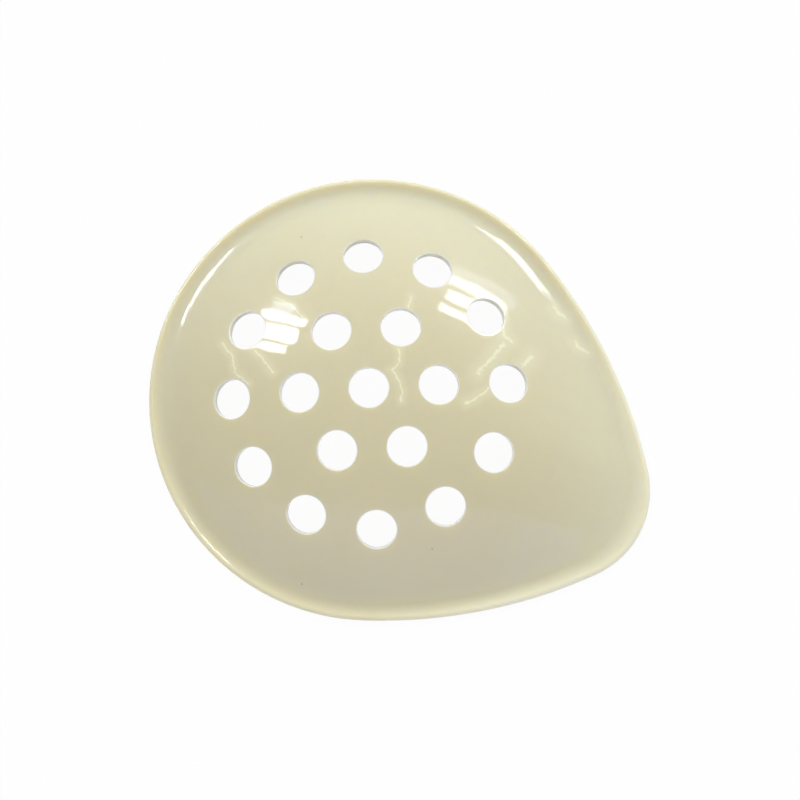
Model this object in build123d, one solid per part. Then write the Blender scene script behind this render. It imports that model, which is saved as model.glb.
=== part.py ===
from build123d import *
import math
import os

# A surgical eye shield: one thin moulded shell, domed over the eye and taped to the brow and the cheek.
# Lengths are in millimetres and angles in degrees. +X runs along the shield to its small end, +Z points
# away from the face, and the origin is under the middle of the shield, on the surface it rests on.

# Outline of the rim, seen from the front: a large round end, a small round end and two long side arcs
RIM_RADIUS = 34.3
TIP_RADIUS = 14.2
TIP_OFFSET = 31.8
SIDE_RADIUS = 79.0

# Wall, from the middle of the dome to the edge of the rim
WALL = 1.0
DOME_RADIUS = 58.0
GUTTER_RADIUS = 3.2
LIP_ANGLE = 20.0
LIP_LENGTH = 0.3

# Flat face under the gutter, where the shield rests
LAND_WIDTH = 1.2

# How the outline changes from the rim to the middle of the dome: the power law that rounds it off
ROUNDING_POWER = 1.5

# Air and sight holes: one in the middle and two rings round it
HOLE_DIAMETER = 6.0
HOLE_PITCH = 10.5
RING_COUNTS = (6, 12)
RING_TURNS = (30.0, 0.0)

# Length by which a cutting tool passes what it cuts
OVERRUN = 3.0

# Middle of the loft: the sections start at a small disc, which the middle hole takes away
CORE_RADIUS = HOLE_DIAMETER / 3

# Places of the dome's sections, as shares of the way from the core to the gutter: closer near the gutter
DOME_SHARES = (0.0, 0.12, 0.24, 0.36, 0.48, 0.60, 0.71, 0.81, 0.89, 0.95, 0.985)
GUTTER_STEPS = 8
EDGE_STEPS = 8


def outline_angles():
    """Directions in which the large end meets the side arc, and the side arc meets the small end."""
    large = SIDE_RADIUS - RIM_RADIUS
    small = SIDE_RADIUS - TIP_RADIUS
    cosine = (small**2 - large**2 - TIP_OFFSET**2) / (2 * large * TIP_OFFSET)
    large_angle = math.acos(cosine)
    small_angle = math.asin(large * math.sin(large_angle) / small)
    return large_angle, small_angle


LARGE_ANGLE, SMALL_ANGLE = outline_angles()
RIM_SPREAD = RIM_RADIUS - TIP_RADIUS
SIDE_SPREAD_SHARE = math.sin(SMALL_ANGLE) / (math.sin(LARGE_ANGLE) - math.sin(SMALL_ANGLE))


def wall_section():
    """The centres of the dome's and the gutter's arcs, and the middle of the rounded edge, at the large end."""
    lip = math.radians(LIP_ANGLE)
    edge_x = RIM_RADIUS - WALL / 2
    middle_radius = GUTTER_RADIUS + WALL / 2
    gutter_x = edge_x - middle_radius * math.sin(lip) - LIP_LENGTH * math.cos(lip)
    outer_bend = GUTTER_RADIUS + WALL
    gutter_z = math.sqrt(outer_bend**2 - (LAND_WIDTH / 2) ** 2)
    edge_z = gutter_z - middle_radius * math.cos(lip) + LIP_LENGTH * math.sin(lip)
    slope = math.asin(gutter_x / (DOME_RADIUS + GUTTER_RADIUS))
    dome_z = gutter_z - (DOME_RADIUS + GUTTER_RADIUS) * math.cos(slope)
    return slope, dome_z, (gutter_x, gutter_z), (edge_x, edge_z)


SLOPE, DOME_Z, GUTTER_CENTRE, EDGE_CENTRE = wall_section()
LIP_END_RADIUS = EDGE_CENTRE[0] - WALL / 2 * math.sin(math.radians(LIP_ANGLE))
CENTRE_SHIFT = (TIP_OFFSET + TIP_RADIUS - RIM_RADIUS) / 2


def spread(radius):
    """By how much the small end's radius falls short of the large end's, at an outer level of this radius."""
    return RIM_SPREAD * (radius / LIP_END_RADIUS) ** ROUNDING_POWER


def level(radius, difference, height):
    """One level line of the shell: four tangent arcs at a height."""
    share = difference / RIM_SPREAD
    side_excess = difference * SIDE_SPREAD_SHARE
    side_x = -CENTRE_SHIFT - side_excess * math.cos(LARGE_ANGLE)
    side_y = side_excess * math.sin(LARGE_ANGLE)
    large, small = math.degrees(LARGE_ANGLE), math.degrees(SMALL_ANGLE)
    large_end = CenterArc((-CENTRE_SHIFT, 0), radius, large, 360 - 2 * large)
    lower_side = CenterArc((side_x, side_y), radius + side_excess, -large, large - small)
    small_end = CenterArc((TIP_OFFSET * share - CENTRE_SHIFT, 0), radius - difference, -small, 2 * small)
    upper_side = CenterArc((side_x, -side_y), radius + side_excess, small, large - small)
    return Pos(0, 0, height) * Wire([large_end, lower_side, small_end, upper_side])


def dome_levels(depth):
    """Levels of the dome from the core out, at a depth below the outer face."""
    start = math.asin(CORE_RADIUS / DOME_RADIUS)
    levels = []
    for share in DOME_SHARES:
        angle = start + share * (SLOPE - start)
        radius = (DOME_RADIUS - depth) * math.sin(angle)
        height = DOME_Z + (DOME_RADIUS - depth) * math.cos(angle)
        levels.append(level(radius, spread(DOME_RADIUS * math.sin(angle)), height))
    return levels


def gutter_levels(depth):
    """Levels of the gutter and the lip from the dome out, at a depth below the outer face."""
    levels = []
    for step in range(GUTTER_STEPS + 1):
        angle = -SLOPE + (math.radians(LIP_ANGLE) + SLOPE) * step / GUTTER_STEPS
        radius = GUTTER_CENTRE[0] + (GUTTER_RADIUS + depth) * math.sin(angle)
        height = GUTTER_CENTRE[1] - (GUTTER_RADIUS + depth) * math.cos(angle)
        levels.append(level(radius, spread(GUTTER_CENTRE[0] + GUTTER_RADIUS * math.sin(angle)), height))
    return levels


def edge_levels():
    """Levels of the rounded edge, from the outer face round to the underside."""
    levels = []
    for step in range(EDGE_STEPS + 1):
        angle = math.radians(LIP_ANGLE) + math.pi / 2 - math.pi * step / EDGE_STEPS
        radius = EDGE_CENTRE[0] + WALL / 2 * math.cos(angle)
        height = EDGE_CENTRE[1] + WALL / 2 * math.sin(angle)
        levels.append(level(radius, RIM_SPREAD, height))
    return levels


def closed_wall():
    """The whole wall as one loft: up the outer face's sections, round the edge and back along the inside."""
    outer = dome_levels(0) + gutter_levels(0)
    inner = dome_levels(WALL) + gutter_levels(WALL)
    return Solid.make_loft(outer + edge_levels() + inner[::-1])


def rest_cut():
    """Everything below the surface that the shield rests on."""
    reach = 2 * (RIM_RADIUS + TIP_OFFSET)
    return Pos(0, 0, -OVERRUN / 2) * Box(reach, reach, OVERRUN)


def hole_places():
    """Places of the holes' axes, seen from the front."""
    places = [(-CENTRE_SHIFT, 0.0)]
    for ring, (count, turn) in enumerate(zip(RING_COUNTS, RING_TURNS), start=1):
        for step in range(count):
            angle = math.radians(turn + 360 * step / count)
            x = ring * HOLE_PITCH * math.cos(angle) - CENTRE_SHIFT
            places.append((x, ring * HOLE_PITCH * math.sin(angle)))
    return places


def hole_cut(wall, x, y):
    """A round cutter that stands square to the outer face above this place."""
    hits = wall.find_intersection_points(Axis((x, y, 0), (0, 0, 1)))
    point, normal = max(hits, key=lambda hit: hit[0].Z)
    return Plane(origin=point, z_dir=normal) * Cylinder(HOLE_DIAMETER / 2, 2 * (WALL + OVERRUN))


def shield_shell():
    """The finished shell."""
    wall = closed_wall()
    holes = [hole_cut(wall, x, y) for x, y in hole_places()]
    return Part() + wall - rest_cut() - holes


def main():
    os.makedirs("parts", exist_ok=True)
    shell = shield_shell()
    export_step(shell, "parts/shield_shell.step")


main()
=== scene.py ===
import math

import bmesh
import bpy
from bpy.props import FloatProperty, FloatVectorProperty, IntProperty, PointerProperty
from mathutils import Matrix, Vector


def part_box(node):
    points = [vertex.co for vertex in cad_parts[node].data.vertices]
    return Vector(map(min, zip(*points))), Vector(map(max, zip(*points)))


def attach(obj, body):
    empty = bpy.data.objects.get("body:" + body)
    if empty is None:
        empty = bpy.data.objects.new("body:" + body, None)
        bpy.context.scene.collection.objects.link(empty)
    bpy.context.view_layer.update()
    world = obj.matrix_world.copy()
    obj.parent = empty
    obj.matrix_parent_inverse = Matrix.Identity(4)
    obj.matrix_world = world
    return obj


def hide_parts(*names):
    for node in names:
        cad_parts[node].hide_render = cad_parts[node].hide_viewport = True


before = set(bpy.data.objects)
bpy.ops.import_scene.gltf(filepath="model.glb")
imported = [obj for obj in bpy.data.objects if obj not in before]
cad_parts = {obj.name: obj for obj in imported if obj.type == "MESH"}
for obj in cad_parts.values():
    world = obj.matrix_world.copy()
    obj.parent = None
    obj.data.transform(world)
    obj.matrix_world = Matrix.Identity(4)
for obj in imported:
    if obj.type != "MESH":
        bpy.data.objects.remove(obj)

bl_info = {
    "name": "Surgical eye shield",
    "version": (1, 0, 0),
    "blender": (4, 5, 0),
    "location": "3D View > Sidebar > Eye shield",
    "description": "Builds a domed eye shield with air holes, its glossy plastic and its stage",
    "category": "Add Mesh",
}

# The frame: the solid that the shell stands for, the body that it hangs from, and the solid's box
SHELL_NODE = "shield_shell"
SHELL_BODY = "root"
SHELL_LOW, SHELL_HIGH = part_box(SHELL_NODE)
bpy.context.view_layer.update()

# One millimetre in metres: the shell is worked out in millimetres and scaled once
MM = 0.001

# Largest lengths of the web's edges while it is refined, in millimetres
WEB_LIMITS = (6.0, 3.5, 2.0, 1.2, 0.95)

# Steps of the wall's section, from the web out to the edge
DOME_STEPS = 8
FOOT_STEPS = 7
HOLLOW_STEPS = 11
GUTTER_STEPS = 14
EDGE_STEPS = 10

# Steps of the outline: the large end, each side arc and the small end
OUTLINE_STEPS = (180, 48, 36, 48)

# Name of the mesh's layer that marks the lip, where its painted glow is laid, and the distances from the
# rim's edge, in millimetres, at which the lip starts and is full
LIP_LAYER = "lip"
LIP_START = 2.5
LIP_FULL = 1.1

# Name of the mesh's layer that marks the walls of the holes, where their painted light is laid
CUT_LAYER = "hole_wall"

# Rings of holes round the middle one: the number of holes in each, and the direction of its first hole
HOLE_RINGS = ((6, math.pi / 6), (12, 0.0))

# Rings between the web and a hole, as shares of the collar's width
COLLAR_SHARES = (0.66, 0.36, 0.14, 0.0)

# How the web is smoothed after each step of its refinement: how often, and how far towards its neighbours
SMOOTH_ROUNDS = 3
SMOOTH_FACTOR = 0.5

# Halvings of the range of levels in the search for the one through a place
SEARCH_STEPS = 34

# Segments of the rounding of the holes' rims
RIM_SEGMENTS = 3

# Flow marks of the moulding, seen from the front in millimetres, drawn as painted glints of light: the width
# of each thin line where the plastic met itself, and the points that it follows
FLOW_MARKS = (
    (0.26, ((-6.7, 15.5), (-6.2, 13.7))),
    (0.28, ((-4.5, 7.3), (-3.5, 5.4), (-4.0, 3.9))),
    (0.32, ((-4.0, 3.9), (-2.4, 3.1), (-1.3, 1.9), (-0.6, 0.4))),
    (0.58, ((9.0, 15.6), (8.4, 12.7), (7.6, 9.6))),
    (0.60, ((13.5, 15.9), (13.0, 14.0))),
    (0.40, ((10.1, 8.2), (9.1, 6.2), (8.1, 4.6))),
    (0.30, ((-29.5, -3.5), (-27.1, -4.6), (-25.5, -6.6), (-22.6, -7.4))),
    (0.32, ((-24.2, -2.3), (-21.9, -3.3), (-20.0, -4.3))),
    (0.42, ((7.2, 18.6), (8.4, 16.9), (9.9, 16.5))),
    (0.24, ((-25.2, 6.3), (-22.6, 6.4), (-19.6, 5.1))),
    (0.50, ((13.0, 25.0), (14.2, 24.4), (15.3, 24.5))),
    (0.42, ((18.3, 21.7), (19.4, 21.1), (20.8, 21.1))),
)

# Dark specks in the plastic, seen from the front in millimetres
SPECKS = ((-26.6, 17.0), (-2.1, -30.4), (13.3, -16.9))

# Distances from a speck's middle, in millimetres, up to which it is full and from which it is gone
SPECK_FULL = 0.05
SPECK_GONE = 0.22

# How far the flow marks wander, in millimetres, the range over which an uneven width is read from its noise,
# and the shares of the width that this gives
MARK_WANDER = 0.8
UNEVEN_RANGE = (0.35, 0.65)
WIDTH_SHARES = (0.5, 1.6)

# The painted haze of light beside each flow mark's glint: its reach in widths of the mark, and its strength
PAINTED_HAZE_REACH = 4.5
PAINTED_HAZE_STRENGTH = 0.30

# Grain of the noises: those of the clouds and of the waves are per metre, the other two per millimetre
CLOUD_GRAIN = {"Scale": 70.0, "Detail": 4.0}
WAVE_GRAIN = {"Scale": 420.0, "Detail": 2.0}
WANDER_GRAIN = {"Scale": 0.9, "Detail": 4.0}
UNEVEN_GRAIN = {"Scale": 1.6, "Detail": 3.0}

# Fixed properties of the plastic: how its roughness varies, its refractive index, the roughness of its haze,
# and how far red, green and blue light spread in it for each unit of the scatter length
ROUGHNESS_SHARES = (0.8, 1.3)
REFRACTIVE_INDEX = 1.5
HAZE_ROUGHNESS = 0.28
SCATTER_SHARES = (1.0, 0.85, 0.55)

# Painted shade: middle of the part of the shell drawn darker, as if less lit, and the distances, in metres,
# up to which it is full and from which it is gone; beyond them the plastic is drawn paler, as if better lit
PAINTED_SHADE_MIDDLE = (-0.003, -0.014, 0.008)
PAINTED_SHADE_REACH = 0.022
PAINTED_SHADE_FREE = 0.050

# Where along the shell the lip starts to grow paler and is palest, in metres: the paler lip is a painted glow
# and highlight, strongest at the small end
TIP_START = 0.008
TIP_FULL = 0.028

# Colours of the light from all round, from the viewer's side, over the horizon, to beyond the lamps
SKY_COLOURS = (
    (0.0, (0.78, 0.78, 0.92)),
    (0.476, (0.78, 0.80, 1.10)),
    (0.486, (0.36, 0.32, 0.17)),
    (0.70, (0.36, 0.33, 0.23)),
    (0.90, (0.78, 0.78, 0.76)),
    (0.99, (1.15, 1.16, 1.18)),
)

# Share of the floor's white that the camera and the reflections see; the rest is lit and keeps the shadow
FLOOR_WHITE = 0.96

# Width of the camera's sensor, in millimetres
SENSOR_WIDTH = 36.0

# Directions of the two ceiling lamps from the shield, and directions along their bars
LAMPS = {
    "left": (Vector((-0.675, 0.164, 0.719)), Vector((0.738, 0.209, 0.645))),
    "right": (Vector((0.174, 0.753, 0.635)), Vector((0.971, -0.023, -0.239))),
}

# The bars of each lamp as seen from one metre: where each starts and ends, its lower and upper edge, and
# its share of the brightness. The last one of each lamp is the dimmer glow on the ceiling beside it.
LAMP_BARS = {
    "left": (
        (-0.14, 0.10, -0.104, -0.062, 1.0),
        (-0.13, 0.13, -0.044, 0.042, 1.0),
        (-0.13, 0.15, 0.061, 0.112, 1.0),
        (-0.08, 0.05, 0.112, 0.170, 0.35),
    ),
    "right": (
        (-0.18, 0.03, -0.134, -0.090, 0.85),
        (-0.16, 0.06, -0.056, 0.020, 0.85),
        (-0.20, 0.11, 0.046, 0.106, 0.85),
        (-0.20, 0.14, 0.106, 0.180, 0.145),
    ),
}

# Colour of that glow, cooler than the bars
GLOW_COLOUR = (0.80, 0.95, 1.30)


class ShieldSizes(bpy.types.PropertyGroup):
    """The real sizes of the shell, in metres."""

    rim_radius: FloatProperty(
        name="Rim radius",
        description="Radius of the rim at the large end",
        default=(SHELL_HIGH.y - SHELL_LOW.y) / 2,
        unit="LENGTH",
    )
    tip_radius: FloatProperty(
        name="Tip radius",
        description="Radius of the rim at the small end",
        default=0.0142,
        unit="LENGTH",
    )
    side_radius: FloatProperty(
        name="Side radius",
        description="Radius of the long side arcs",
        default=0.079,
        unit="LENGTH",
    )
    wall: FloatProperty(
        name="Wall",
        description="Thickness of the plastic",
        default=0.001,
        unit="LENGTH",
    )
    dome_radius: FloatProperty(
        name="Dome radius",
        description="Radius of the dome's outer face at the large end",
        default=0.058,
        unit="LENGTH",
    )
    gutter_radius: FloatProperty(
        name="Gutter radius",
        description="Radius of the hollow between the dome and the lip",
        default=0.0032,
        unit="LENGTH",
    )
    hollow_radius: FloatProperty(
        name="Hollow radius",
        description="Radius of the bottom of the hollow, on the outer face",
        default=0.0027,
        unit="LENGTH",
    )
    foot_radius: FloatProperty(
        name="Foot radius",
        description="Radius with which the dome's foot runs out into the hollow",
        default=0.008,
        unit="LENGTH",
    )
    foot_angle: FloatProperty(
        name="Foot angle",
        description="Slope at which the dome's foot meets the bottom of the hollow",
        default=math.radians(17),
        unit="ROTATION",
        subtype="ANGLE",
    )
    lip_angle: FloatProperty(
        name="Lip angle",
        description="Angle by which the lip rises outwards",
        default=math.radians(20),
        unit="ROTATION",
        subtype="ANGLE",
    )
    lip_length: FloatProperty(
        name="Lip length",
        description="Straight length of the lip before its rounded edge",
        default=0.0003,
        unit="LENGTH",
    )
    land_width: FloatProperty(
        name="Land width",
        description="Width of the flat face under the gutter",
        default=0.0012,
        unit="LENGTH",
    )
    rounding_power: FloatProperty(
        name="Rounding power",
        description="How fast the level lines turn round from the rim to the middle",
        default=1.5,
    )
    hole_diameter: FloatProperty(
        name="Hole diameter",
        description="Diameter of the air holes",
        default=0.006,
        unit="LENGTH",
    )
    hole_pitch: FloatProperty(
        name="Hole pitch",
        description="Radius of the first ring of holes, and half that of the second",
        default=0.0105,
        unit="LENGTH",
    )
    hole_rounding: FloatProperty(
        name="Hole rounding",
        description="Rounding of the holes' rims",
        default=0.00014,
        unit="LENGTH",
    )
    collar_width: FloatProperty(
        name="Collar width",
        description="Width of the even rings of faces round each hole",
        default=0.0012,
        unit="LENGTH",
    )
    hole_steps: IntProperty(
        name="Hole steps",
        description="Number of edges round each hole",
        default=72,
    )
    web_radius: FloatProperty(
        name="Web radius",
        description="Level of the dome inside which the faces run between the holes",
        default=0.0262,
        unit="LENGTH",
    )


class ShieldFinish(bpy.types.PropertyGroup):
    """Colours and gloss of the moulded plastic, with light and shade painted into some of its colours."""

    base_colour: FloatVectorProperty(
        name="Plastic colour",
        description="Colour of the cream plastic",
        default=(0.745, 0.704, 0.498),
        size=3,
        subtype="COLOR",
    )
    cloud_colour: FloatVectorProperty(
        name="Cloud colour",
        description="Colour of the plastic where the pigment is a little denser",
        default=(0.712, 0.670, 0.471),
        size=3,
        subtype="COLOR",
    )
    # Painted light: the plastic away from the middle is drawn paler for the light falling on it, not for less
    # yellowing
    painted_light_colour: FloatVectorProperty(
        name="Pale colour",
        description="Colour of the plastic away from the middle, where it has yellowed less",
        default=(0.790, 0.762, 0.570),
        size=3,
        subtype="COLOR",
    )
    # Painted glow and highlight: the lip is drawn paler for light through the thin plastic and, at the small
    # end, a highlight
    painted_tip_glow_colour: FloatVectorProperty(
        name="Lip colour",
        description="Colour of the thin lip at the small end, where it lets the most light through",
        default=(0.900, 0.846, 0.640),
        size=3,
        subtype="COLOR",
    )
    painted_side_glow_colour: FloatVectorProperty(
        name="Side colour",
        description="Colour of the thin lip away from the small end",
        default=(0.785, 0.736, 0.527),
        size=3,
        subtype="COLOR",
    )
    # Painted light: the holes' walls are drawn paler for the light that reaches them through the holes
    painted_wall_light_colour: FloatVectorProperty(
        name="Cut colour",
        description="Colour of the holes' walls, which are paler than the gloss round them",
        default=(0.95, 0.925, 0.79),
        size=3,
        subtype="COLOR",
    )
    # The flow marks are real, but their bright colour is a painted glint of the light that they catch
    mark_and_painted_glint_colour: FloatVectorProperty(
        name="Flow mark colour",
        description="Colour of the thin lines where the plastic met itself in the mould",
        default=(0.98, 0.94, 0.70),
        size=3,
        subtype="COLOR",
    )
    speck_colour: FloatVectorProperty(
        name="Speck colour",
        description="Colour of the few dark specks in the plastic",
        default=(0.50, 0.47, 0.33),
        size=3,
        subtype="COLOR",
    )
    roughness: FloatProperty(
        name="Roughness",
        description="Roughness of the glossy face",
        default=0.045,
        subtype="FACTOR",
    )
    wave_height: FloatProperty(
        name="Wave height",
        description="Height of the faint waves left by the mould",
        default=0.000014,
        unit="LENGTH",
    )
    haze: FloatProperty(
        name="Haze",
        description="Share of the gloss that spreads softly round the reflections",
        default=0.3,
        subtype="FACTOR",
    )
    softness: FloatProperty(
        name="Softness",
        description="Share of the light that scatters under the surface",
        default=1.0,
        subtype="FACTOR",
    )
    scatter_length: FloatProperty(
        name="Scatter length",
        description="How far the light spreads under the surface",
        default=0.0018,
        unit="LENGTH",
    )


class ShieldStage(bpy.types.PropertyGroup):
    """The floor, the lamps and the camera."""

    floor_size: FloatProperty(
        name="Floor size",
        description="Width of the floor",
        default=3.0,
        unit="LENGTH",
    )
    floor_colour: FloatVectorProperty(
        name="Floor colour",
        description="Colour of the floor",
        default=(0.90, 0.90, 0.90),
        size=3,
        subtype="COLOR",
    )
    lamp_distance: FloatProperty(
        name="Lamp distance",
        description="Distance of the ceiling lamps from the shield",
        default=2.0,
        unit="LENGTH",
    )
    lamp_radiance: FloatProperty(
        name="Lamp brightness",
        description="Brightness of the lamps' bars as surfaces seen from the shield",
        default=16.5,
    )
    sky_strength: FloatProperty(
        name="Sky strength",
        description="Strength of the light from all round",
        default=0.93,
    )
    sky_direction: FloatVectorProperty(
        name="Sky direction",
        description="Direction in which the light from all round is brightest",
        default=(-0.391, 0.794, 0.465),
        subtype="DIRECTION",
    )
    side_direction: FloatVectorProperty(
        name="Side direction",
        description="Direction, square to the first, towards which the light from all round grows",
        default=(0.890, 0.455, -0.028),
        subtype="DIRECTION",
    )
    side_share: FloatProperty(
        name="Side share",
        description="By what share the light from all round grows towards that side",
        default=0.28,
        subtype="FACTOR",
    )
    camera_aim: FloatVectorProperty(
        name="Camera aim",
        description="Point in the middle of the picture",
        default=(-0.0012, 0.0009, 0.0060),
        unit="LENGTH",
        subtype="XYZ",
    )
    camera_distance: FloatProperty(
        name="Camera distance",
        description="Distance of the camera from its aim",
        default=0.3281,
        unit="LENGTH",
    )
    camera_lens: FloatProperty(
        name="Lens",
        description="Focal length of the camera, in millimetres",
        default=97.6,
    )
    camera_tilt: FloatProperty(
        name="Camera tilt",
        description="Angle of the camera from straight above",
        default=math.radians(8.61),
        unit="ROTATION",
        subtype="ANGLE",
    )
    camera_bearing: FloatProperty(
        name="Camera bearing",
        description="Direction in which the camera leans from straight above, from +X towards +Y",
        default=math.radians(-52.15),
        unit="ROTATION",
        subtype="ANGLE",
    )
    camera_roll: FloatProperty(
        name="Camera roll",
        description="Angle in the picture of the shield's long axis, downwards to the right",
        default=math.radians(26.6),
        unit="ROTATION",
        subtype="ANGLE",
    )


class ShellForm:
    """The faces of the shell, in millimetres, worked out from its sizes."""

    def __init__(self, sizes):
        self.rim = sizes.rim_radius / MM
        self.spread_at_rim = self.rim - sizes.tip_radius / MM
        length = (SHELL_HIGH.x - SHELL_LOW.x) / MM
        self.tip_offset = length - self.rim - sizes.tip_radius / MM
        self.shift = (length - 2 * self.rim) / 2
        self.wall = sizes.wall / MM
        self.dome = sizes.dome_radius / MM
        self.gutter = sizes.gutter_radius / MM
        self.lip_angle = sizes.lip_angle
        self.land = sizes.land_width / MM
        self.power = sizes.rounding_power
        self.hole_radius = sizes.hole_diameter / 2 / MM
        self.pitch = sizes.hole_pitch / MM
        self.collar = sizes.collar_width / MM
        self.rounding = sizes.hole_rounding / MM
        self.hole_steps = sizes.hole_steps
        self.web = sizes.web_radius / MM
        self.set_outline(sizes.side_radius / MM)
        self.set_section(sizes.lip_length / MM)
        self.set_foot(sizes.hollow_radius / MM, sizes.foot_radius / MM, sizes.foot_angle)

    def set_outline(self, side_radius):
        """Works out where the arcs of the outline meet."""
        large = side_radius - self.rim
        small = side_radius - self.rim + self.spread_at_rim
        cosine = (small**2 - large**2 - self.tip_offset**2) / (2 * large * self.tip_offset)
        self.large_angle = math.acos(cosine)
        self.small_angle = math.asin(large * math.sin(self.large_angle) / small)
        small_sine = math.sin(self.small_angle)
        self.side_share = small_sine / (math.sin(self.large_angle) - small_sine)
        self.tip_share = self.tip_offset / self.spread_at_rim
        corners = [self.large_angle, math.tau - self.large_angle, math.tau - self.small_angle]
        corners += [math.tau + self.small_angle, math.tau + self.large_angle]
        self.directions = []
        for start, end, steps in zip(corners, corners[1:], OUTLINE_STEPS):
            self.directions += [start + (end - start) * step / steps for step in range(steps)]

    def set_section(self, lip_length):
        """Works out the arcs of the wall's section at the large end."""
        middle = self.gutter + self.wall / 2
        rise, run = math.sin(self.lip_angle), math.cos(self.lip_angle)
        self.edge_x = self.rim - self.wall / 2
        self.gutter_x = self.edge_x - middle * rise - lip_length * run
        self.gutter_z = math.sqrt((self.gutter + self.wall) ** 2 - (self.land / 2) ** 2)
        self.edge_z = self.gutter_z - middle * run + lip_length * rise
        self.slope = math.asin(self.gutter_x / (self.dome + self.gutter))
        self.dome_z = self.gutter_z - (self.dome + self.gutter) * math.cos(self.slope)
        self.lip_end = self.edge_x - self.wall / 2 * rise

    def set_foot(self, hollow, foot, angle):
        """Works out the outer face's hollow: a soft arc at the dome's foot and a tighter one under it."""
        self.hollow, self.foot, self.foot_angle = hollow, foot, angle
        self.hollow_z = self.gutter_z - self.gutter + hollow
        self.foot_z = self.hollow_z + (foot - hollow) * math.cos(angle)
        self.foot_x = math.sqrt((self.dome + foot) ** 2 - (self.foot_z - self.dome_z) ** 2)
        self.hollow_x = self.foot_x - (foot - hollow) * math.sin(angle)
        self.foot_slope = math.asin(self.foot_x / (self.dome + foot))
        lip_end_z = self.edge_z + self.wall / 2 * math.cos(self.lip_angle)
        self.hollow_end = math.atan2(self.lip_end - self.hollow_x, self.hollow_z - lip_end_z)

    def spread(self, radius):
        """By how much the small end's radius falls short of the large end's, at this level."""
        return self.spread_at_rim * (radius / self.lip_end) ** self.power

    def side_centre(self, difference):
        """Centre of the upper side arc of a level, seen from the large end's centre."""
        excess = difference * self.side_share
        return -excess * math.cos(self.large_angle), -excess * math.sin(self.large_angle), excess

    def level(self, radius, difference, height):
        """Points of one level line, in the order of the outline's directions."""
        side_x, side_y, excess = self.side_centre(difference)
        points = []
        for direction in self.directions:
            turn = abs(math.remainder(direction, math.tau))
            mirrored = math.copysign(1, math.sin(direction))
            x, y = radius * math.cos(turn), radius * math.sin(turn)
            if turn < self.small_angle:
                x += (self.tip_share - math.cos(turn)) * difference
                y -= difference * math.sin(turn)
            elif turn < self.large_angle:
                x += side_x + excess * math.cos(turn)
                y += side_y + excess * math.sin(turn)
            points.append(Vector((x - self.shift, mirrored * y, height)))
        return points

    def nearest(self, x, y, radius):
        """How far a place lies outside a level, and the level's outward direction there."""
        difference = self.spread(radius)
        side_x, side_y, excess = self.side_centre(difference)
        turn = math.atan2(abs(y) - side_y, x - side_x)
        if turn >= self.large_angle:
            return math.hypot(x, y) - radius, math.atan2(abs(y), x)
        if turn <= self.small_angle:
            ahead = x - self.tip_share * difference
            return math.hypot(ahead, y) - radius + difference, math.atan2(abs(y), ahead)
        return math.hypot(x - side_x, abs(y) - side_y) - radius - excess, turn

    def dome_at(self, x, y):
        """The dome's outer point over a place, its normal, and the way to the inner face."""
        x += self.shift
        low, high = 0.0, self.gutter_x
        for _ in range(SEARCH_STEPS):
            radius = (low + high) / 2
            if self.nearest(x, y, radius)[0] > 0:
                low = radius
            else:
                high = radius
        turn = self.nearest(x, y, radius)[1]
        stretch = 0.0
        if turn < self.small_angle:
            stretch = self.tip_share * math.cos(turn) - 1
        elif turn < self.large_angle:
            stretch = self.side_share * (1 - math.cos(turn - self.large_angle))
        growth = 1 + stretch * self.power * self.spread(radius) / max(radius, self.wall / self.dome)
        tilt = math.asin(radius / self.dome)
        across = Vector((math.cos(turn), math.copysign(math.sin(turn), y), 0))
        point = Vector((x - self.shift, y, self.dome_z + self.dome * math.cos(tilt)))
        normal = (across * math.tan(tilt) / growth + Vector((0, 0, 1))).normalized()
        inward = -self.wall * (across * math.sin(tilt) + Vector((0, 0, math.cos(tilt))))
        return point, normal, inward

    def dome_stations(self, depth):
        """Levels of the dome from the web to the gutter."""
        start = math.asin(self.web / self.dome)
        end = self.slope if depth else self.foot_slope
        stations = []
        for step in range(DOME_STEPS + 1):
            angle = start + (end - start) * step / DOME_STEPS
            arm = self.dome - depth
            difference = self.spread(self.dome * math.sin(angle))
            stations.append((arm * math.sin(angle), difference, self.dome_z + arm * math.cos(angle)))
        return stations

    def hollow_stations(self):
        """Levels of the outer face's hollow, from the dome's foot to just before the rounded edge."""
        arcs = (
            (self.foot_x, self.foot_z, self.foot, -self.foot_slope, -self.foot_angle, FOOT_STEPS),
            (self.hollow_x, self.hollow_z, self.hollow, -self.foot_angle, self.hollow_end, HOLLOW_STEPS),
        )
        stations = []
        for x, z, arm, start, end, steps in arcs:
            for step in range(steps):
                angle = start + (end - start) * step / steps
                radius = x + arm * math.sin(angle)
                stations.append((radius, self.spread(radius), z - arm * math.cos(angle)))
        return stations

    def gutter_stations(self):
        """Levels of the wall's underside from the dome to the lip, with the flat land."""
        sweep = self.slope + self.lip_angle
        arm = self.gutter + self.wall
        land = math.asin(self.land / 2 / arm)
        angles = [-self.slope + sweep * step / GUTTER_STEPS for step in range(GUTTER_STEPS + 1)]
        stations = []
        for angle in sorted([angle for angle in angles if abs(angle) > land] + [-land, land]):
            difference = self.spread(self.gutter_x + self.gutter * math.sin(angle))
            height = self.gutter_z - arm * math.cos(angle)
            stations.append((self.gutter_x + arm * math.sin(angle), difference, height))
        return stations

    def edge_stations(self):
        """Levels of the rounded edge, from the outer face round to the underside."""
        stations = []
        for step in range(EDGE_STEPS + 1):
            angle = self.lip_angle + math.pi / 2 - math.pi * step / EDGE_STEPS
            radius = self.edge_x + self.wall / 2 * math.cos(angle)
            height = self.edge_z + self.wall / 2 * math.sin(angle)
            stations.append((radius, self.spread_at_rim, height))
        return stations

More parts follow.
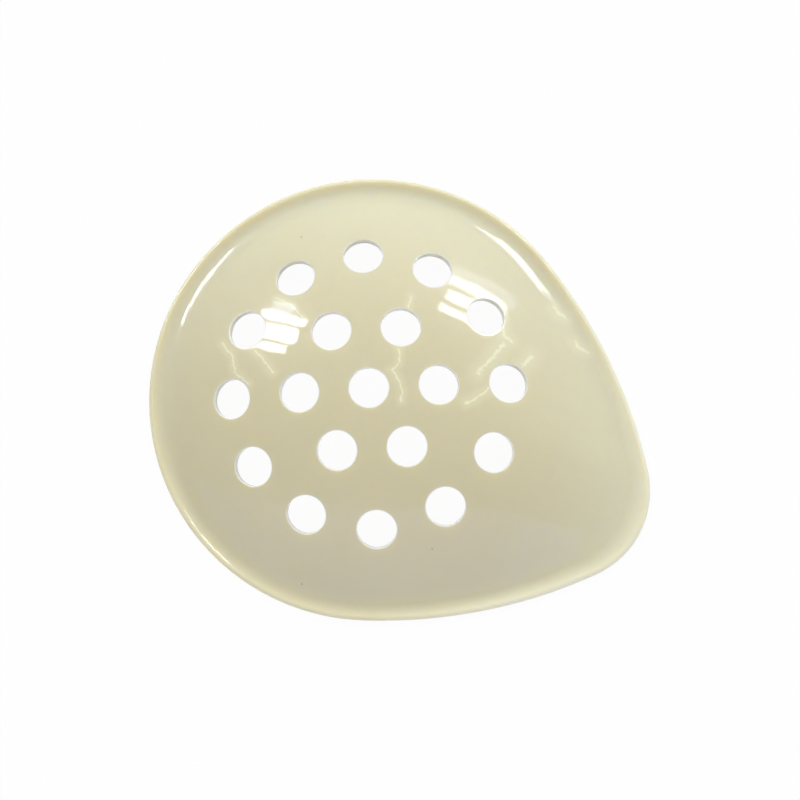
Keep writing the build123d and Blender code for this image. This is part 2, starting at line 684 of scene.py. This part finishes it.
    def wall_stations(self):
        """All the levels from the web out over the dome, round the edge and back under the web."""
        outer = self.dome_stations(0)[1:] + self.hollow_stations()[1:]
        inner = self.dome_stations(self.wall)[:-1] + self.gutter_stations()
        return outer + self.edge_stations() + inner[::-1]

    def lip_share(self, radius):
        """How much of the lip's painted glow a level of this radius takes."""
        return min(1.0, max(0.0, (LIP_START - self.rim + radius) / (LIP_START - LIP_FULL)))

    def holes(self):
        """Centre and axis of each hole, on the outer face."""
        places = [(0.0, 0.0)]
        for ring, (count, first) in enumerate(HOLE_RINGS, start=1):
            for step in range(count):
                angle = first + math.tau * step / count
                places.append((ring * self.pitch * math.cos(angle), ring * self.pitch * math.sin(angle)))
        centres = []
        for x, y in places:
            point, normal, _ = self.dome_at(x - self.shift, y)
            centres.append((point, normal))
        return centres

    def hole_ring(self, point, normal, radius):
        """Points of a ring round a hole's axis, on the outer face, the first one half a step round."""
        turned = normal.to_track_quat("Z", "Y").to_matrix()
        sag = radius**2 / (2 * self.dome)
        ring = []
        for step in range(self.hole_steps):
            angle = math.tau * (step + 0.5) / self.hole_steps
            flat = point + turned @ Vector((radius * math.cos(angle), radius * math.sin(angle), -sag))
            ring.append(self.dome_at(flat.x, flat.y)[0])
        return ring


def ring_edges(bm, ring):
    """The edges of a closed ring of vertices."""
    return [bm.edges.get((ring[index - 1], vert)) for index, vert in enumerate(ring)]


def add_ring(bm, points):
    """A new closed ring of vertices through these points."""
    ring = bmesh.ops.create_circle(bm, segments=len(points), radius=1)["verts"]
    for vert, point in zip(ring, points):
        vert.co = point
    return ring


def grow_ring(bm, ring, points):
    """Extrudes a closed ring and moves the new one to these points, in order."""
    made = bmesh.ops.extrude_edge_only(bm, edges=ring_edges(bm, ring))["geom"]
    fresh = {item for item in made if isinstance(item, bmesh.types.BMVert)}
    grown = []
    for vert, point in zip(ring, points):
        partner = next(edge.other_vert(vert) for edge in vert.link_edges if edge.other_vert(vert) in fresh)
        partner.co = point
        grown.append(partner)
    return grown


def fill_web(bm, form, rings):
    """Fills the dome between the web's border and the holes' collars, and refines the faces.

    Subdividing drops the references to the rings' vertices, so they are read again, in their order.
    """
    edges = [edge for ring in rings for edge in ring_edges(bm, ring)]
    bmesh.ops.triangle_fill(bm, use_beauty=True, use_dissolve=False, edges=edges, normal=(0, 0, 1))
    counts = [len(ring) for ring in rings]
    for limit in WEB_LIMITS:
        inner = [edge for edge in bm.edges if len(edge.link_faces) == 2]
        long_edges = [edge for edge in inner if edge.calc_length() > limit]
        bmesh.ops.subdivide_edges(bm, edges=long_edges, cuts=1)
        bmesh.ops.triangulate(bm, faces=[face for face in bm.faces if len(face.verts) > 3])
        inner = [edge for edge in bm.edges if len(edge.link_faces) == 2]
        bmesh.ops.beautify_fill(bm, faces=bm.faces[:], edges=inner)
        free = bm.verts[:][sum(counts):]
        for _ in range(SMOOTH_ROUNDS):
            bmesh.ops.smooth_vert(bm, verts=free, factor=SMOOTH_FACTOR, use_axis_x=True, use_axis_y=True)
        for vert in free:
            vert.co = form.dome_at(vert.co.x, vert.co.y)[0]
    verts = iter(bm.verts[:])
    return [[next(verts) for _ in range(count)] for count in counts]


def build_shell(form):
    """The whole shell as one closed mesh, in millimetres."""
    bm = bmesh.new()
    for name in (LIP_LAYER, CUT_LAYER):
        bm.verts.layers.float.new(name)
    lip, cut = (bm.verts.layers.float[name] for name in (LIP_LAYER, CUT_LAYER))
    holes = form.holes()
    border = form.dome_stations(0)[0]
    web_ring = add_ring(bm, form.level(*border))
    collar_radius = form.hole_radius + form.collar
    collars = [add_ring(bm, form.hole_ring(point, normal, collar_radius)) for point, normal in holes]
    web_ring, *collars = fill_web(bm, form, [web_ring] + collars)
    rims = []
    for (point, normal), ring in zip(holes, collars):
        for share in COLLAR_SHARES:
            radius = form.hole_radius + share * form.collar
            ring = grow_ring(bm, ring, form.hole_ring(point, normal, radius))
        rims.append(ring)
    outer = bm.verts[:]
    twins = bmesh.ops.duplicate(bm, geom=bm.verts[:] + bm.edges[:] + bm.faces[:])["vert_map"]
    for vert in outer:
        point, _, inward = form.dome_at(vert.co.x, vert.co.y)
        twins[vert].co = point + inward
    for (_, normal), ring in zip(holes, rims):
        for vert in ring:
            twins[vert].co = vert.co - form.wall * normal
    inner_web = [twins[vert] for vert in web_ring]
    inner_rims = [[twins[vert] for vert in ring] for ring in rims]
    # The holes' walls are marked for the painted light laid on them
    for ring in rims + inner_rims:
        for vert in ring:
            vert[cut] = 1.0
    *stations, last = form.wall_stations()
    ring = web_ring
    for station in stations:
        ring = grow_ring(bm, ring, form.level(*station))
        # Each level is marked with its share of the lip's painted glow
        for vert in ring:
            vert[lip] = form.lip_share(station[0])
    for vert, point in zip(inner_web, form.level(*last)):
        vert.co = point
    bmesh.ops.bridge_loops(bm, edges=ring_edges(bm, ring) + ring_edges(bm, inner_web))
    sharp = []
    for outer_rim, inner_rim in zip(rims, inner_rims):
        pair = ring_edges(bm, outer_rim) + ring_edges(bm, inner_rim)
        bmesh.ops.bridge_loops(bm, edges=pair)
        sharp += pair
    bmesh.ops.recalc_face_normals(bm, faces=bm.faces[:])
    bmesh.ops.bevel(
        bm,
        geom=sharp,
        offset=form.rounding,
        offset_type="OFFSET",
        segments=RIM_SEGMENTS,
        profile=0.5,
        affect="EDGES",
        clamp_overlap=True,
        material=-1,
    )
    bmesh.ops.recalc_face_normals(bm, faces=bm.faces[:])
    return bm


def finish_piece(bm, name, material):
    """Turns a mesh in millimetres into a smooth piece in metres that stands for the solid."""
    bmesh.ops.scale(bm, vec=(MM, MM, MM), verts=bm.verts[:])
    for face in bm.faces:
        face.smooth = True
    mesh = bpy.data.meshes.new(name)
    bm.to_mesh(mesh)
    bm.free()
    mesh.materials.append(material)
    piece = bpy.data.objects.new(name, mesh)
    bpy.context.scene.collection.objects.link(piece)
    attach(piece, SHELL_BODY)
    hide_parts(SHELL_NODE)
    return piece


def add_node(tree, kind, inputs=None, **settings):
    """A new shader node with these settings and input values."""
    node = tree.nodes.new(kind)
    for name, value in settings.items():
        setattr(node, name, value)
    for name, value in (inputs or {}).items():
        if isinstance(value, bpy.types.NodeSocket):
            tree.links.new(value, node.inputs[name])
        else:
            node.inputs[name].default_value = value
    return node


def vector_step(tree, operation, first, second):
    """One operation on two vectors."""
    return add_node(tree, "ShaderNodeVectorMath", {0: first, 1: second}, operation=operation).outputs


def number_step(tree, operation, first, second):
    """The result of one operation on two numbers."""
    return add_node(tree, "ShaderNodeMath", {0: first, 1: second}, operation=operation).outputs[0]


def grain(tree, place, sizes):
    """A noise over these places."""
    return add_node(tree, "ShaderNodeTexNoise", {"Vector": place, **sizes}).outputs


def new_material(name):
    """A material with an empty node tree and its output node."""
    material = bpy.data.materials.new(name)
    material.use_nodes = True
    material.node_tree.nodes.clear()
    output = material.node_tree.nodes.new("ShaderNodeOutputMaterial")
    return material, material.node_tree, output


def line_group():
    """A node group: how far a place lies from a straight line between two points."""
    group = bpy.data.node_groups.new("line_distance", "ShaderNodeTree")
    for name in ("Place", "Start", "End"):
        group.interface.new_socket(name, in_out="INPUT", socket_type="NodeSocketVector")
    group.interface.new_socket("Distance", in_out="OUTPUT", socket_type="NodeSocketFloat")
    given = group.nodes.new("NodeGroupInput").outputs
    result = group.nodes.new("NodeGroupOutput")
    reach = vector_step(group, "SUBTRACT", given["Place"], given["Start"])[0]
    line = vector_step(group, "SUBTRACT", given["End"], given["Start"])[0]
    along = vector_step(group, "DOT_PRODUCT", reach, line)["Value"]
    square = vector_step(group, "DOT_PRODUCT", line, line)["Value"]
    share = add_node(group, "ShaderNodeMath", {0: along, 1: square}, operation="DIVIDE", use_clamp=True)
    foot = add_node(group, "ShaderNodeVectorMath", {0: line, "Scale": share.outputs[0]}, operation="SCALE")
    gap = vector_step(group, "SUBTRACT", reach, foot.outputs[0])[0]
    length = add_node(group, "ShaderNodeVectorMath", {0: gap}, operation="LENGTH")
    group.links.new(length.outputs["Value"], result.inputs["Distance"])
    return group


def nearest_of(tree, distances):
    """The smallest of several distances."""
    nearest, *others = distances
    for other in others:
        nearest = number_step(tree, "MINIMUM", nearest, other)
    return nearest


def fade(tree, value, full, gone):
    """A mask that is one up to one distance and fades to nothing at another."""
    settings = {"Value": value, "From Min": full, "From Max": gone, "To Min": 1.0, "To Max": 0.0}
    return add_node(tree, "ShaderNodeMapRange", settings, interpolation_type="SMOOTHSTEP").outputs["Result"]


def spread_range(tree, value, given, wanted):
    """A value read over one range and set out over another."""
    limits = {"From Min": given[0], "From Max": given[1], "To Min": wanted[0], "To Max": wanted[1]}
    return add_node(tree, "ShaderNodeMapRange", {"Value": value, **limits}).outputs["Result"]


def marks_group():
    """A node group: masks of the flow marks, drawn as painted glints with a painted haze beside them, and of
    the dark specks, from a place on the shell.
    """
    group = bpy.data.node_groups.new("moulding_marks_and_glints", "ShaderNodeTree")
    group.interface.new_socket("Place", in_out="INPUT", socket_type="NodeSocketVector")
    group.interface.new_socket("Flow marks", in_out="OUTPUT", socket_type="NodeSocketFloat")
    group.interface.new_socket("Specks", in_out="OUTPUT", socket_type="NodeSocketFloat")
    given = group.nodes.new("NodeGroupInput").outputs["Place"]
    result = group.nodes.new("NodeGroupOutput")
    flat = vector_step(group, "MULTIPLY", given, (1 / MM, 1 / MM, 0))[0]
    noise = grain(group, flat, WANDER_GRAIN)["Color"]
    shake = vector_step(group, "SUBTRACT", noise, (0.5, 0.5, 0.5))[0]
    shift = vector_step(group, "MULTIPLY", shake, (MARK_WANDER, MARK_WANDER, 0))[0]
    shaken = vector_step(group, "ADD", flat, shift)[0]
    line = line_group()
    distances = []
    for width, points in FLOW_MARKS:
        parts = []
        for start, end in zip(points, points[1:]):
            ends = {"Place": shaken, "Start": (*start, 0), "End": (*end, 0)}
            parts.append(add_node(group, "ShaderNodeGroup", ends, node_tree=line).outputs["Distance"])
        distances.append(number_step(group, "DIVIDE", nearest_of(group, parts), width))
    nearest = nearest_of(group, distances)
    uneven = grain(group, flat, UNEVEN_GRAIN)["Fac"]
    width = spread_range(group, uneven, UNEVEN_RANGE, WIDTH_SHARES)
    line_mask = fade(group, nearest, 0.0, width)
    # Painted haze of light beside each glint
    painted_haze = number_step(group, "MULTIPLY", fade(group, nearest, 0.0, PAINTED_HAZE_REACH), PAINTED_HAZE_STRENGTH)
    group.links.new(number_step(group, "MAXIMUM", line_mask, painted_haze), result.inputs["Flow marks"])
    distances = []
    for x, y in SPECKS:
        distances.append(vector_step(group, "DISTANCE", flat, (x, y, 0))["Value"])
    specks = fade(group, nearest_of(group, distances), SPECK_FULL, SPECK_GONE)
    group.links.new(specks, result.inputs["Specks"])
    return group


def mix_colour(tree, share, first, second):
    """A colour between two others."""
    mix = add_node(tree, "ShaderNodeMix", data_type="RGBA")
    tree.links.new(share, mix.inputs["Factor"])
    for socket, colour in ((mix.inputs[6], first), (mix.inputs[7], second)):
        if isinstance(colour, bpy.types.NodeSocket):
            tree.links.new(colour, socket)
        else:
            socket.default_value = (*colour, 1)
    return mix.outputs[2]


def plastic_material(finish):
    """The glossy cream plastic, with its clouds, specks and faint waves, painted shade and glow, and flow
    marks drawn as painted glints.
    """
    material, tree, output = new_material("cream_plastic")
    place = add_node(tree, "ShaderNodeTexCoord").outputs["Object"]
    marks = add_node(tree, "ShaderNodeGroup", {"Place": place}, node_tree=marks_group()).outputs
    clouds = grain(tree, place, CLOUD_GRAIN)["Fac"]
    colour = mix_colour(tree, clouds, finish.base_colour, finish.cloud_colour)
    # Painted shade: darker round a point on the -Y side of the large end, paler away from it
    apart = vector_step(tree, "DISTANCE", place, PAINTED_SHADE_MIDDLE)["Value"]
    painted_shade = fade(tree, apart, PAINTED_SHADE_REACH, PAINTED_SHADE_FREE)
    # Painted glow and highlight on the lip, palest at the small end
    along = add_node(tree, "ShaderNodeSeparateXYZ", {"Vector": place}).outputs["X"]
    tip = spread_range(tree, along, (TIP_START, TIP_FULL), (0.0, 1.0))
    painted_rim_glow = mix_colour(tree, tip, finish.painted_side_glow_colour, finish.painted_tip_glow_colour)
    lip = add_node(tree, "ShaderNodeAttribute", attribute_name=LIP_LAYER).outputs["Fac"]
    hole_wall = add_node(tree, "ShaderNodeAttribute", attribute_name=CUT_LAYER).outputs["Fac"]
    colour = mix_colour(tree, painted_shade, finish.painted_light_colour, colour)
    # The lip takes its painted glow
    colour = mix_colour(tree, lip, colour, painted_rim_glow)
    # Painted light on the holes' walls
    colour = mix_colour(tree, hole_wall, colour, finish.painted_wall_light_colour)
    # Flow marks drawn as painted glints; the specks below are the plastic's own
    colour = mix_colour(tree, marks["Flow marks"], colour, finish.mark_and_painted_glint_colour)
    colour = mix_colour(tree, marks["Specks"], colour, finish.speck_colour)
    waves = grain(tree, place, WAVE_GRAIN)["Fac"]
    bump = add_node(tree, "ShaderNodeBump", {"Height": waves, "Strength": 1.0})
    bump.inputs["Distance"].default_value = finish.wave_height
    roughness = [share * finish.roughness for share in ROUGHNESS_SHARES]
    shader = add_node(tree, "ShaderNodeBsdfPrincipled")
    tree.links.new(colour, shader.inputs["Base Color"])
    tree.links.new(spread_range(tree, clouds, (0.0, 1.0), roughness), shader.inputs["Roughness"])
    tree.links.new(bump.outputs["Normal"], shader.inputs["Normal"])
    shader.inputs["IOR"].default_value = REFRACTIVE_INDEX
    shader.inputs["Coat Weight"].default_value = finish.haze
    shader.inputs["Coat Roughness"].default_value = HAZE_ROUGHNESS
    shader.inputs["Subsurface Weight"].default_value = finish.softness
    shader.inputs["Subsurface Radius"].default_value = SCATTER_SHARES
    shader.inputs["Subsurface Scale"].default_value = finish.scatter_length
    tree.links.new(shader.outputs["BSDF"], output.inputs["Surface"])
    return material


def floor_material(stage):
    """A pale floor that is white in the picture and keeps the object's shadow."""
    material, tree, output = new_material("pale_floor")
    path = add_node(tree, "ShaderNodeLightPath").outputs
    lit = add_node(tree, "ShaderNodeBsdfDiffuse", {"Color": (*stage.floor_colour, 1)})
    glow = add_node(tree, "ShaderNodeEmission", {"Color": (1, 1, 1, 1), "Strength": 1.0})
    ray = number_step(tree, "MAXIMUM", path["Is Camera Ray"], path["Is Glossy Ray"])
    mix = add_node(tree, "ShaderNodeMixShader", {0: number_step(tree, "MULTIPLY", ray, FLOOR_WHITE)})
    tree.links.new(lit.outputs[0], mix.inputs[1])
    tree.links.new(glow.outputs[0], mix.inputs[2])
    clear = tree.nodes.new("ShaderNodeBsdfTransparent")
    behind = tree.nodes.new("ShaderNodeNewGeometry").outputs["Backfacing"]
    mix = add_node(tree, "ShaderNodeMixShader", {0: behind, 1: mix.outputs[0], 2: clear.outputs[0]})
    tree.links.new(mix.outputs[0], output.inputs["Surface"])
    return material


def build_floor(stage):
    """The floor that the shield rests on."""
    bm = bmesh.new()
    bmesh.ops.create_grid(bm, x_segments=1, y_segments=1, size=stage.floor_size / 2)
    mesh = bpy.data.meshes.new("floor")
    bm.to_mesh(mesh)
    bm.free()
    mesh.materials.append(floor_material(stage))
    floor = bpy.data.objects.new("floor", mesh)
    bpy.context.scene.collection.objects.link(floor)


def build_lamps(stage):
    """Two ceiling lamps of three bright bars each, and the glow beside them."""
    distance = stage.lamp_distance
    for side, (towards, along) in LAMPS.items():
        back = towards.normalized()
        right = (along - back * along.dot(back)).normalized()
        up = back.cross(right)
        turned = Matrix((right, up, back)).transposed().to_4x4()
        last = len(LAMP_BARS[side]) - 1
        for index, (start, end, bottom, top, share) in enumerate(LAMP_BARS[side]):
            lamp = bpy.data.lights.new(f"{side}_bar_{index}", "AREA")
            lamp.shape = "RECTANGLE"
            if index == last:
                lamp.color = GLOW_COLOUR
            lamp.size = (end - start) * distance
            lamp.size_y = (top - bottom) * distance
            lamp.energy = share * stage.lamp_radiance * math.pi * lamp.size * lamp.size_y
            holder = bpy.data.objects.new(lamp.name, lamp)
            centre = back + right * (start + end) / 2 + up * (bottom + top) / 2
            holder.matrix_world = Matrix.Translation(centre * distance) @ turned
            bpy.context.scene.collection.objects.link(holder)


def build_sky(stage):
    """Light from all round, brightest beyond the lamps and dim just over the horizon, white to the camera."""
    world = bpy.data.worlds.new("sky")
    bpy.context.scene.world = world
    world.use_nodes = True
    tree = world.node_tree
    tree.nodes.clear()
    output = tree.nodes.new("ShaderNodeOutputWorld")
    direction = add_node(tree, "ShaderNodeTexCoord").outputs["Generated"]
    facing = vector_step(tree, "DOT_PRODUCT", direction, stage.sky_direction)["Value"]
    ramp = add_node(tree, "ShaderNodeValToRGB", {"Fac": spread_range(tree, facing, (-1.0, 1.0), (0.0, 1.0))})
    elements = ramp.color_ramp.elements
    elements.remove(elements[1])
    for index, (place, colour) in enumerate(SKY_COLOURS):
        element = elements.new(place) if index else elements[0]
        element.position = place
        element.color = (*colour, 1)
    side = vector_step(tree, "DOT_PRODUCT", direction, stage.side_direction)["Value"]
    level = add_node(
        tree,
        "ShaderNodeMath",
        {0: side, 1: stage.side_share * stage.sky_strength, 2: stage.sky_strength},
        operation="MULTIPLY_ADD",
    ).outputs[0]
    sky = add_node(tree, "ShaderNodeBackground", {"Color": ramp.outputs["Color"], "Strength": level})
    plain = add_node(tree, "ShaderNodeBackground", {"Color": (1, 1, 1, 1), "Strength": 1.0})
    seen = add_node(tree, "ShaderNodeLightPath").outputs["Is Camera Ray"]
    mix = add_node(tree, "ShaderNodeMixShader", {0: seen, 1: sky.outputs[0], 2: plain.outputs[0]})
    tree.links.new(mix.outputs[0], output.inputs["Surface"])


def build_camera(stage):
    """The camera at the photograph's viewing angle."""
    bearing = Vector((math.cos(stage.camera_bearing), math.sin(stage.camera_bearing), 0))
    back = bearing * math.sin(stage.camera_tilt) + Vector((0, 0, math.cos(stage.camera_tilt)))
    long_axis = (Vector((1, 0, 0)) - back * back.x).normalized()
    turned = Matrix.Rotation(stage.camera_roll, 3, back)
    right = turned @ long_axis
    up = back.cross(right)
    camera = bpy.data.cameras.new("camera")
    camera.lens = stage.camera_lens
    camera.sensor_width = SENSOR_WIDTH
    holder = bpy.data.objects.new("camera", camera)
    rotation = Matrix((right, up, back)).transposed().to_4x4()
    place = Vector(stage.camera_aim) + back * stage.camera_distance
    holder.matrix_world = Matrix.Translation(place) @ rotation
    bpy.context.scene.collection.objects.link(holder)
    bpy.context.scene.camera = holder


class EYESHIELD_OT_shell(bpy.types.Operator):
    """Build the shield's shell and its plastic"""

    bl_idname = "eyeshield.shell"
    bl_label = "Build the shell"

    def execute(self, context):
        form = ShellForm(context.scene.eyeshield_sizes)
        material = plastic_material(context.scene.eyeshield_finish)
        finish_piece(build_shell(form), "moulded_shell", material)
        return {"FINISHED"}


class EYESHIELD_OT_stage(bpy.types.Operator):
    """Build the floor, the lamps and the camera"""

    bl_idname = "eyeshield.stage"
    bl_label = "Build the stage"

    def execute(self, context):
        stage = context.scene.eyeshield_stage
        build_floor(stage)
        build_lamps(stage)
        build_sky(stage)
        build_camera(stage)
        context.scene.view_settings.view_transform = "Standard"
        return {"FINISHED"}


class EYESHIELD_PT_panel(bpy.types.Panel):
    """The shield's operators in the sidebar"""

    bl_idname = "EYESHIELD_PT_panel"
    bl_label = "Eye shield"
    bl_space_type = "VIEW_3D"
    bl_region_type = "UI"
    bl_category = "Eye shield"

    def draw(self, context):
        for operator in OPERATORS:
            self.layout.operator(operator.bl_idname)


GROUPS = {
    "eyeshield_sizes": ShieldSizes,
    "eyeshield_finish": ShieldFinish,
    "eyeshield_stage": ShieldStage,
}
OPERATORS = (EYESHIELD_OT_shell, EYESHIELD_OT_stage)


def register():
    """Registers the classes and puts the settings on the scene."""
    for name, group in GROUPS.items():
        bpy.utils.register_class(group)
        setattr(bpy.types.Scene, name, PointerProperty(type=group))
    for operator in OPERATORS:
        bpy.utils.register_class(operator)
    bpy.utils.register_class(EYESHIELD_PT_panel)


def unregister():
    """Takes away what register adds."""
    bpy.utils.unregister_class(EYESHIELD_PT_panel)
    for operator in reversed(OPERATORS):
        bpy.utils.unregister_class(operator)
    for name, group in GROUPS.items():
        delattr(bpy.types.Scene, name)
        bpy.utils.unregister_class(group)


def main():
    """Builds the shield and its stage."""
    register()
    bpy.ops.eyeshield.shell()
    bpy.ops.eyeshield.stage()


if __name__ == "__main__":
    main()
